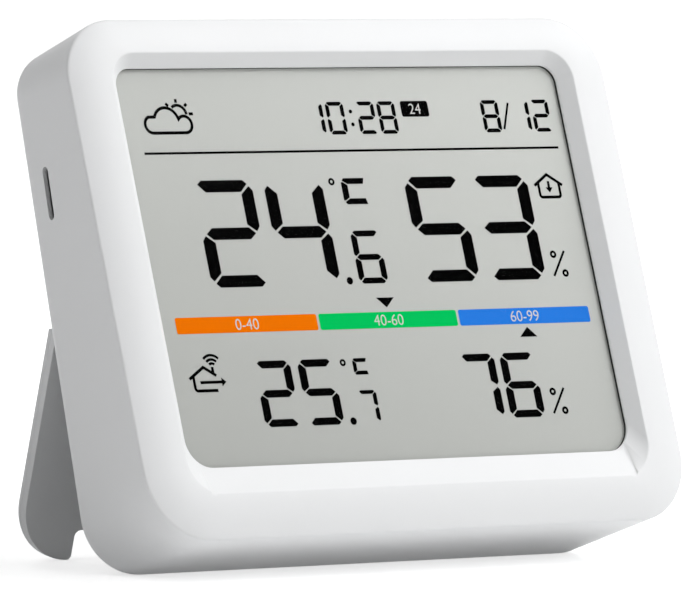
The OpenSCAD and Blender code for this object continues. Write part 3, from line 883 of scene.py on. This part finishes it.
class SENSOR_OT_kickstand(bpy.types.Operator):
    """Kickstand: outlines at depths through a plate whose top edge is a full round about the hinge line"""

    bl_idname = "sensor.kickstand"
    bl_label = "Kickstand"

    def execute(self, context):
        s, c = sizes(), colours()
        line = [math.asin((STAND_BEVEL[1] + k * STAND_LINE[0]) / (STAND_T / 2)) for k in (-1, 0, 1)]
        turns = (*np.linspace(-math.pi / 2, line[0], 12), line[1], *np.linspace(line[2], math.pi / 2, 20))
        rings = [self.level(turn, s["foot_edge"]) for turn in turns]
        stand = skin("kickstand_skin", rings, [0] * len(rings), STAND)
        half = LUG_L / 2 + LUG_GAP[0]
        for middle in (-LUG_X, LUG_X):
            low = (middle - half, -STAND_T, -STAND_T / 2 - LUG_GAP[1])
            carve(stand, block("gap_tool", low, (middle + half, STAND_T, STAND_T), STAND))
        # The stand's darker white is painted shade for the shade behind the housing
        plastic = moulded_plastic("moulded_abs_stand_shaded", c["stand"], SATIN)
        settle(stand, plastic, "stand", "stand_white", "kickstand")
        return {"FINISHED"}

    def level(self, turn, edge):
        """Outline at the depth of an angle on the hinge round.

        It is drawn in by the rear rounding, the front draft and the parting line's small groove.
        """
        radius = STAND_T / 2
        depth = radius * math.sin(turn)
        draw, start = STAND_BEVEL
        behind = max(0.0, depth - radius + edge)
        before = max(0.0, start - depth) / (start + radius)
        groove = STAND_LINE[1] * max(0.0, 1 - abs(depth - start) / STAND_LINE[0])
        inset = edge - math.sqrt(edge ** 2 - behind ** 2) + draw * before + groove
        return at_depth(stand_outline(inset, radius * math.cos(turn)), depth)


BUTTON_PROUD = 0.6
BUTTON_LONG = 3.0
BUTTON_RIM = 0.4
DISH_R = 1.9
DISH_DEEP = 0.12


class SENSOR_OT_mode_button(bpy.types.Operator):
    """Mode button: a short round cap with a softened rim and a shallow dish"""

    bl_idname = "sensor.mode_button"
    bl_label = "Mode button"

    def execute(self, context):
        top = into_back((0, 0, BUTTON[1])) + PAD_RISE / (REAR.back @ BODY.back) + BUTTON_PROUD
        reach = BUTTON[2]
        turns = np.radians(np.linspace(0, 90, 7))
        rim = [(reach - BUTTON_RIM * (1 - math.cos(turn)), top - BUTTON_RIM * (1 - math.sin(turn)))
               for turn in turns]
        dish = [(r, top - DISH_DEEP * (1 - (r / DISH_R) ** 2)) for r in (DISH_R, 1.4, 0.9, 0.4)]
        button = revolve("mode_button_cap", [(reach, top - BUTTON_LONG), *rim, *dish], BUTTON[:2], BODY)
        plastic = moulded_plastic("moulded_abs_button", colours()["shell"], 0.45)
        settle(button, plastic, "button", "button_white", "mode_button")
        return {"FINISHED"}


SCREW_HEAD = 1.5
SCREW_SHANK = 0.8
SCREW_LONG = 6.5
SCREW_DOME = (0.55, 0.45)
CROSS_SLIT = 0.19


class SENSOR_OT_screws(bpy.types.Operator):
    """Cover screws: domed heads with a cross recess on plain shanks"""

    bl_idname = "sensor.screws"
    bl_label = "Cover screws"

    def execute(self, context):
        arm = sizes()["cross"] / 2
        steel = plain("zinc_plated_steel", linear("#B9BBBD"), 0.32, 1.0)
        turns = np.linspace(0, 1.45, 7)
        edge, rise = SCREW_DOME
        for k, (x, z) in enumerate(SCREWS):
            seat = into_back((x, 0, z)) - SCREW_SINK
            dome = [(SCREW_HEAD * math.cos(turn), seat + edge + rise * math.sin(turn)) for turn in turns]
            profile = [(SCREW_SHANK, seat - SCREW_LONG), (SCREW_SHANK, seat), (SCREW_HEAD, seat), *dome]
            screw = revolve(f"cover_screw_head_{k + 1}", profile, (x, z), BODY)
            for wide, tall in ((arm, CROSS_SLIT), (CROSS_SLIT, arm)):
                low, high = (x - wide, seat + 0.45, z - tall), (x + wide, seat + 2, z + tall)
                carve(screw, block("cross_tool", low, high, BODY))
            settle(screw, steel, "housing", "screw_steel", f"cover_screw_{k + 1}")
        return {"FINISHED"}


ART_GAP = 0.005
NUMBER_GAP = 0.012
# Width of the dark ring of painted shade that stands for the lip's shadow round the window
SHADE_RING = 1.0
BAR_LOW, BAR_HIGH = -7.25, -4.98
BARS = ((-34.45, -10.78, "dry", "0-40"), (-10.38, 13.18, "mild", "40-60"), (13.58, 36.45, "damp", "60-99"))
BADGE = {"half": 2.375, "low": 22.67, "high": 24.92, "radius": 0.35, "middle": 13.12}


class SENSOR_OT_display(bpy.types.Operator):
    """Display: grey glass behind a clear sheet, with segments, pictograms and the range bar before it"""

    bl_idname = "sensor.display"
    bl_label = "Display"

    def execute(self, context):
        s, c = sizes(), colours()
        ink = plain("lcd_segment_black", c["ink"], 0.6, gloss=0.0)
        pale = plain("printed_pale_grey", linear("#D9DBD8"), 0.6, gloss=0.05)
        far = ART_DEPTH - ART_GAP
        depth = (far - s["art"], far)
        in_front = depth[0] - NUMBER_GAP
        print_art("segments_time", self.time_row(), ink, depth)
        print_art("segments_indoor", self.indoor_row(), ink, depth)
        print_art("segments_outdoor", self.outdoor_row(), ink, depth)
        print_art("pictograms", self.pictograms(), ink, depth)
        for low, high, tone, words in BARS:
            middle = (low + high) / 2
            film = plain(f"colour_film_{tone}", c[tone], 0.55, gloss=0.0)
            shape = oblong((high - low) / 2, BAR_LOW, BAR_HIGH, 0.3, middle)
            print_art(f"range_bar_{tone}", [shape], film, depth)
            self.lettering(f"range_numbers_{tone}", words, (middle, -6.12), 1.55, pale, in_front)
        # Painted shade: a dark ring under the lip deepens its shadow along the window's edges
        self.border(plain("painted_lip_shade", linear("#4A4C4A"), 0.7, gloss=0.1), depth)
        print_art("hour_badge", [oblong(**BADGE)], ink, depth)
        self.lettering("hour_badge_number", "24", (BADGE["middle"], 23.8), 1.5, pale, in_front)
        self.glass(c)
        return {"FINISHED"}

    def glass(self, c):
        """Finishes of the clear sheet, the two glasses and the film behind them."""
        grey = display_glass(c["display"])
        dress("display_lens", clear_acrylic())
        dress("lcd_front_glass", grey)
        dress("lcd_rear_glass", grey)
        dress("lcd_reflector", plain("diffuse_reflector_film", linear("#C9CBC6"), 0.5))
        dress("elastomer_strip", plain("zebra_silicone", linear("#4A4C4E"), 0.7))

    def border(self, ink, depth):
        """Dark ring of painted shade round the viewing area, standing for the lip's shadow on the glass: a
        flat ring from the window's outline out under the frame.
        """
        inner = oblong(**WINDOW)
        outer = oblong(**{**widened(WINDOW, SHADE_RING), "radius": 1.0, "low_radius": 1.0})
        near, far = depth
        steps = ((inner, far), (inner, near), (outer, near), (outer, far))
        rings = [at_depth(*step) for step in steps]
        set_on_glass(skin("display_painted_shade_ring", rings, [0] * 4, BODY, closed=True), ink)

    def time_row(self):
        """Clock, date and the line under them."""
        row = (("1", -5.87), ("0", -2.23), ("2", 3.0), ("8", 6.61), ("8", 24.67), ("1", 30.0), ("2", 33.56))
        shapes = figures(row, 20.27, width=3.08, height=4.65, across=0.55, upright=0.62)
        shapes += [disc(1.95, z, 0.56) for z in (21.67, 23.52)]
        shapes.append(stroke(((28.12, 20.7), (29.62, 24.5)), 0.33))
        shapes.append(stroke(((-34.12, 17.95), (37.0, 17.95)), 0.32))
        return shapes

    def indoor_row(self):
        """Large temperature and humidity with their units."""
        row = (("2", -27.2), ("4", -15.3), ("5", 8.7), ("3", 20.3))
        shapes = figures(row, -0.95, width=9.9, height=15.0, across=1.67, upright=2.0)
        shapes += digit("6", -2.25, -0.92, 4.95, 7.5, 0.83, 1.0)
        shapes += degree_c(-2.12, 10.33, 4.0, 3.71, 0.83, 1.04, (-1.57, 3.25, 1.05))
        return shapes + [disc(-3.88, -0.46, 1.05)] + percent(31.67, -0.55)

    def outdoor_row(self):
        """Smaller temperature and humidity with their units."""
        row = (("2", -22.8), ("5", -15.55), ("7", 12.15), ("6", 19.15))
        shapes = figures(row, -20.5, width=6.05, height=9.2, across=1.05, upright=1.29)
        shapes += digit("7", -6.3, -20.45, 3.1, 4.6, 0.54, 0.67)
        shapes += degree_c(-6.21, -13.65, 2.4, 2.3, 0.54, 0.62, (-1.62, 1.75, 1.0))
        return shapes + [disc(-7.94, -20.1, 1.05)] + percent(26.72, -20.1)

    def pictograms(self):
        """Cloud with sun, two houses with an inward and an outward arrow, and the bar's two pointers."""
        cloud = np.concatenate((arc(-31.9, 21.98, 1.17, 270, 112), arc(-29.4, 22.3, 2.05, 158, 22),
                                arc(-26.48, 21.98, 1.17, 140, -90)))
        shapes = [stroke(cloud, 0.44, True), stroke(arc(-27.27, 23.31, 1.375, 130, 3), 0.42)]
        rays = (((-27.3, 25.04), (-27.3, 25.56)), ((-26.0, 24.54), (-25.58, 24.87)),
                ((-25.5, 23.46), (-24.8, 23.46)), ((-28.67, 24.58), (-29.08, 24.94)))
        shapes += [stroke(ray, 0.42) for ray in rays]
        roof = ((31.4, 12.5), (33.86, 14.05), (36.3, 12.5))
        feet = (arc(32.5, 11.2, 0.4, 180, 270, 6), arc(35.3, 11.2, 0.4, 270, 360, 6))
        walls = np.concatenate((((32.1, 12.9),), *feet, ((35.7, 12.9),)))
        shapes += [stroke(roof, 0.42), stroke(walls, 0.42)]
        shapes += self.arrow((33.9, 13.1), (33.9, 11.45))
        roof = ((-33.9, -13.5), (-31.3, -11.9), (-29.35, -13.1))
        foot = arc(-32.8, -14.75, 0.4, 180, 270, 6)
        walls = np.concatenate((((-33.2, -13.15),), foot, ((-29.5, -15.15),)))
        mast = ((-29.8, -11.9), (-29.8, -12.85))
        shapes += [stroke(line, 0.42) for line in (roof, walls, mast)]
        shapes += [stroke(arc(-29.77, -12.0, reach, 135, 45), 0.36) for reach in (0.6, 1.15, 1.75)]
        shapes += self.arrow((-32.2, -14.0), (-27.9, -14.0))
        shapes.append(np.array(((0.0, -2.95), (1.52, -4.35), (3.04, -2.95))))
        shapes.append(np.array(((23.54, -9.1), (26.54, -9.1), (25.04, -7.7))))
        return shapes

    def arrow(self, start, end):
        """Shaft and filled head, with the head's tip at the end."""
        start, end = np.array(start), np.array(end)
        way = (end - start) / np.linalg.norm(end - start)
        side = np.array((-way[1], way[0]))
        neck = end - 0.75 * way
        return [stroke((start, neck), 0.4), np.array((end, neck + 0.6 * side, neck - 0.6 * side))]

    def lettering(self, name, words, centre, height, ink, depth):
        """Flat figures made a mesh, turned to stand in the display's plane and centred."""
        curve = bpy.data.curves.new(name, "FONT")
        curve.body = words
        curve.size = height / 0.7
        curve.offset = -0.012
        curve.extrude = 0.01
        curve.align_x = "CENTER"
        text = bpy.data.objects.new(name, curve)
        bpy.context.scene.collection.objects.link(text)
        graph = bpy.context.evaluated_depsgraph_get()
        mesh = bpy.data.meshes.new_from_object(text.evaluated_get(graph))
        bpy.data.objects.remove(text)
        spots = np.empty(3 * len(mesh.vertices), np.float32)
        mesh.vertices.foreach_get("co", spots)
        spots = spots.reshape(-1, 3)
        flat = spots[:, :2] - (spots[:, :2].max(0) + spots[:, :2].min(0)) / 2
        points = np.stack((flat[:, 0] + centre[0], depth - spots[:, 2], flat[:, 1] + centre[1]), 1)
        mesh.vertices.foreach_set("co", display_place().at(points).astype(np.float32).ravel())
        mesh.update()
        piece = bpy.data.objects.new(name, mesh)
        bpy.context.scene.collection.objects.link(piece)
        set_on_glass(piece, ink)


def dress(node, material):
    """Gives a CAD node its finish."""
    slots = frame["nodes"][node].data.materials
    slots.clear()
    slots.append(material)


class SENSOR_OT_inner_parts(bpy.types.Operator):
    """Finishes of the pieces inside: board and chips, cells, contacts, switch and hinge pins"""

    bl_idname = "sensor.inner_parts"
    bl_label = "Inner parts"

    def execute(self, context):
        nickel = plain("nickel_plated_strip", linear("#C8C5BC"), 0.28, 1.0)
        steel = plain("drawn_steel_pin", linear("#B4B6B8"), 0.3, 1.0)
        wrap = plain("printed_cell_wrap", linear("#3E4650"), 0.35)
        black = plain("moulded_epoxy", linear("#1B1B1C"), 0.55)
        dress("circuit_board", plain("solder_resist_green", linear("#1E5B37"), 0.4))
        dress("radio_module", plain("tinned_shield", linear("#C2C4C6"), 0.35, 1.0))
        dress("switch_plunger", plain("moulded_acetal", linear("#8C8F92"), 0.5))
        for node in ("driver_chip", "humidity_sensor", "switch_body"):
            dress(node, black)
        for node in ("cell_lower", "cell_upper"):
            dress(node, wrap)
        for node in ("contact_bridge", "contact_positive", "contact_negative"):
            dress(node, nickel)
        for node in ("hinge_pin_left", "hinge_pin_right", "board_screw_left", "board_screw_right"):
            dress(node, steel)
        return {"FINISHED"}


EYE = Vector((-0.73285, -0.95263, 0.12084))
SIGHT = Vector((0.60863704, 0.79035523, -0.06999681))
LEVEL = Vector((0.79314079, -0.60848645, 0.02592143))
FOCAL = 454.2
MIDDLE = Vector((0, 0, 0.036))
LAMP_REACH = 1.0
LAMP_SIZE = 0.5
LAMPS = (("right_front_high", 40, 45, 4.8), ("right_high", 75, 45, 3.3), ("left_high", -80, 45, 1.68),
         ("front_low", 0, 12, 0.8), ("right_front_low", 40, 12, 0.7), ("left_low", -100, 12, 0.6),
         ("behind", 170, 40, 1.5))
FLOOR_HALF = 3000.0
FLOOR_DROP = 0.00005
FLOOR_GLOW = 0.6
GLOW_REACH = (0.06, 0.45)
ROOM_LIGHT = 0.02


def lamp(name, azimuth, elevation, power):
    """Soft square area light aimed at the object; angles in degrees, 0 in front, 90 on the right."""
    turn, rise = math.radians(azimuth), math.radians(elevation)
    way = Vector((math.sin(turn) * math.cos(rise), -math.cos(turn) * math.cos(rise), math.sin(rise)))
    data = bpy.data.lights.new(name, "AREA")
    data.shape = "SQUARE"
    data.size = LAMP_SIZE
    data.energy = power
    light = bpy.data.objects.new(name, data)
    light.location = MIDDLE + LAMP_REACH * way
    light.rotation_mode = "QUATERNION"
    light.rotation_quaternion = (-way).to_track_quat("-Z", "Y")
    bpy.context.scene.collection.objects.link(light)


class SENSOR_OT_stage(bpy.types.Operator):
    """Stage: pale floor, white surround, soft studio lights and the camera"""

    bl_idname = "sensor.stage"
    bl_label = "Stage"

    def execute(self, context):
        self.floor(colours()["floor"])
        self.surround()
        for each in LAMPS:
            lamp(*each)
        self.camera()
        context.scene.view_settings.view_transform = "Standard"
        return {"FINISHED"}

    def floor(self, colour):
        """Wide flat square under the feet; what looks at it sees a glow that grows to white outwards."""
        points = FLOOR_HALF * np.array(((-1, -1, 0), (1, -1, 0), (1, 1, 0), (-1, 1, 0)))
        row = Place((0, 0, -FLOOR_DROP), (0, 1, 0))
        ground = make("floor", points, [np.arange(4)[None, :]], row, smooth=False)
        material, tree, shader, where = finish("pale_floor")
        reach = add(tree, "ShaderNodeVectorMath", [(0, where)], operation="LENGTH").outputs["Value"]
        glow = add(tree, "ShaderNodeMapRange", [("Value", reach)], interpolation_type="SMOOTHSTEP",
                   From_Min=GLOW_REACH[0], From_Max=GLOW_REACH[1], To_Min=FLOOR_GLOW, To_Max=1.0)
        seen = add(tree, "ShaderNodeMath", [(0, glow.outputs["Result"]), (1, self.looked_at(tree))],
                   operation="MULTIPLY")
        tree.links.new(seen.outputs[0], shader.inputs["Emission Strength"])
        put_in(shader, Emission_Color=(1, 1, 1, 1), Base_Color=colour, Roughness=0.9)
        ground.data.materials.append(material)

    def looked_at(self, tree):
        """One for rays from the camera, from reflections and through clear pieces, else nought."""
        path = add(tree, "ShaderNodeLightPath").outputs
        seen = path["Is Camera Ray"]
        for kind in ("Is Glossy Ray", "Is Transmission Ray"):
            seen = add(tree, "ShaderNodeMath", [(0, seen), (1, path[kind])], operation="MAXIMUM").outputs[0]
        return seen

    def surround(self):
        """World of faint even light that the camera and reflections see as white."""
        world = bpy.data.worlds.new("studio")
        bpy.context.scene.world = world
        world.use_nodes = True
        tree = world.node_tree
        shade = tree.nodes["Background"]
        shade.inputs["Color"].default_value = (1, 1, 1, 1)
        level = add(tree, "ShaderNodeMapRange", [("Value", self.looked_at(tree))],
                    To_Min=ROOM_LIGHT, To_Max=1.0)
        tree.links.new(level.outputs["Result"], shade.inputs["Strength"])

    def camera(self):
        """Camera on the photograph's line of sight, its sides level with the photograph's frame."""
        data = bpy.data.cameras.new("camera")
        data.sensor_width = 36.0
        data.sensor_fit = "HORIZONTAL"
        data.lens = FOCAL
        data.clip_end = 20.0
        view = bpy.data.objects.new("camera", data)
        rise = LEVEL.cross(SIGHT)
        view.matrix_world = Matrix.Translation(EYE) @ Matrix((LEVEL, rise, -SIGHT)).transposed().to_4x4()
        bpy.context.scene.collection.objects.link(view)
        bpy.context.scene.camera = view


class SENSOR_PT_panel(bpy.types.Panel):
    """Sidebar panel with the sizes, the colours and the steps"""

    bl_label = "Sensor"
    bl_idname = "SENSOR_PT_panel"
    bl_space_type = "VIEW_3D"
    bl_region_type = "UI"
    bl_category = "Sensor"

    def draw(self, context):
        for group in (context.scene.sensor_sizes, context.scene.sensor_colours):
            box = self.layout.box()
            for name in type(group).__annotations__:
                box.prop(group, name)
        for step in STEPS:
            self.layout.operator(step.bl_idname)


STEPS = (SENSOR_OT_front_shell, SENSOR_OT_rear_cover, SENSOR_OT_battery_door, SENSOR_OT_kickstand,
         SENSOR_OT_mode_button, SENSOR_OT_screws, SENSOR_OT_display, SENSOR_OT_inner_parts, SENSOR_OT_stage)
CLASSES = (SensorSizes, SensorColours, *STEPS, SENSOR_PT_panel)


def register():
    for kind in CLASSES:
        bpy.utils.register_class(kind)
    bpy.types.Scene.sensor_sizes = PointerProperty(type=SensorSizes)
    bpy.types.Scene.sensor_colours = PointerProperty(type=SensorColours)


def unregister():
    del bpy.types.Scene.sensor_colours
    del bpy.types.Scene.sensor_sizes
    for kind in reversed(CLASSES):
        bpy.utils.unregister_class(kind)


def main():
    register()
    for step in STEPS:
        group, name = step.bl_idname.split(".")
        getattr(getattr(bpy.ops, group), name)()


if __name__ == "__main__":
    main()
